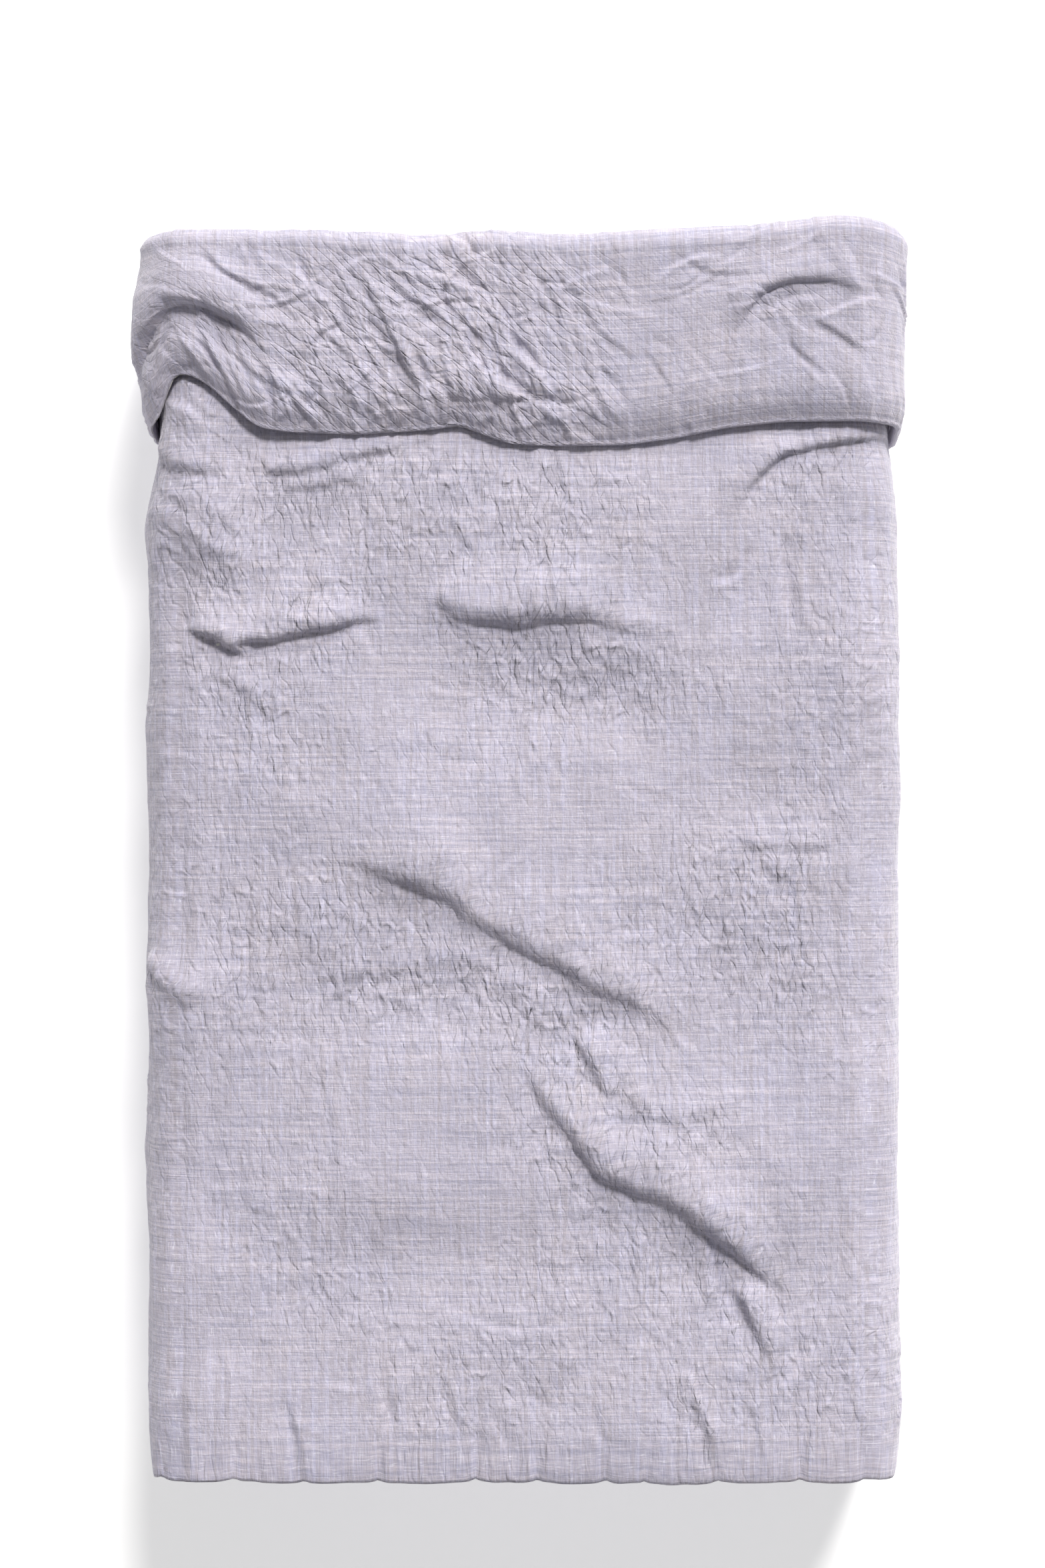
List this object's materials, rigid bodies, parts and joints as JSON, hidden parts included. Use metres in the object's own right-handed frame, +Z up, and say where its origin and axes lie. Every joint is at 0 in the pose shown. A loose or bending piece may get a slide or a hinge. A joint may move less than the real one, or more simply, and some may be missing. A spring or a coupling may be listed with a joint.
{
  "type": "duvet on a bed",
  "caption": "Single duvet in a linen-look cover, draped over a mattress with its head end turned down and a stud-closed opening at its foot.",
  "frame": {"origin": "on the floor, under the middle of the duvet's bounding box; the lowest hems are at z = 0", "axes": "+Y towards the head of the bed, +X across the bed to the right seen from above with the head up, +Z up"},
  "size_m": [1.0366, 1.6675, 0.3209],
  "materials": {
    "linen_cover": "washed plain-weave linen and cotton, two-tone lavender grey, crumpled",
    "insert_shell": "plain white cotton",
    "fibre_fill": "white fibre wadding",
    "cotton_tape": "woven cotton tape",
    "label_satin": "blank satin ribbon",
    "stud_metal": "satin nickel-plated brass"
  },
  "bodies": {
    "duvet_body": {"cover_back": "linen_cover", "cover_face": "linen_cover", "cover_back_fold": "linen_cover", "insert_shell_back": "insert_shell", "insert_shell_face": "insert_shell", "insert_fold": "insert_shell", "fill_pocket_1_1": "fibre_fill", "fill_pocket_1_2": "fibre_fill", "fill_pocket_1_3": "fibre_fill", "fill_pocket_1_4": "fibre_fill", "fill_pocket_1_5": "fibre_fill", "fill_pocket_2_1": "fibre_fill", "fill_pocket_2_2": "fibre_fill", "fill_pocket_2_3": "fibre_fill", "fill_pocket_2_4": "fibre_fill", "fill_pocket_2_5": "fibre_fill", "fill_pocket_3_1": "fibre_fill", "fill_pocket_3_2": "fibre_fill", "fill_pocket_3_3": "fibre_fill", "fill_pocket_3_4": "fibre_fill", "fill_pocket_3_5": "fibre_fill", "fill_pocket_4_1": "fibre_fill", "fill_pocket_4_2": "fibre_fill", "fill_pocket_4_3": "fibre_fill", "fill_pocket_4_4": "fibre_fill", "fill_pocket_4_5": "fibre_fill", "side_seam_left": "linen_cover", "side_seam_right": "linen_cover", "foot_seam_left": "linen_cover", "foot_seam_right": "linen_cover", "placket_back": "linen_cover", "stud_ball_1": "stud_metal", "stud_ball_2": "stud_metal", "stud_ball_3": "stud_metal", "stud_ball_4": "stud_metal", "stud_ball_5": "stud_metal", "corner_tie_foot_left": "cotton_tape", "corner_tie_foot_right": "cotton_tape", "care_label": "label_satin"},
    "turn_down": {"cover_back_turned": "linen_cover", "cover_face_turned": "linen_cover", "insert_shell_back_turned": "insert_shell", "insert_shell_face_turned": "insert_shell", "fill_pocket_turned_1": "fibre_fill", "fill_pocket_turned_2": "fibre_fill", "fill_pocket_turned_3": "fibre_fill", "fill_pocket_turned_4": "fibre_fill", "fill_pocket_turned_5": "fibre_fill", "side_seam_left_turned": "linen_cover", "side_seam_right_turned": "linen_cover", "head_seam_turned": "linen_cover", "corner_tie_head_left": "cotton_tape", "corner_tie_head_right": "cotton_tape"},
    "closure_flap": {"placket_face": "linen_cover", "stud_socket_1": "stud_metal", "stud_socket_2": "stud_metal", "stud_socket_3": "stud_metal", "stud_socket_4": "stud_metal", "stud_socket_5": "stud_metal"}
  },
  "joints": [
    {"name": "turn_down_fold", "type": "hinge", "parent": "duvet_body", "child": "turn_down", "pos_m": [0, 0.8047, 0.2996], "axis": [-1, 0, 0], "range_deg": [0, 50], "deforming": ["cover_back_fold", "insert_fold"]},
    {"name": "closure_open", "type": "hinge", "parent": "duvet_body", "child": "closure_flap", "pos_m": [0, -0.8209, 0.268], "axis": [-1, 0, 0], "range_deg": [0, 70]}
  ]
}
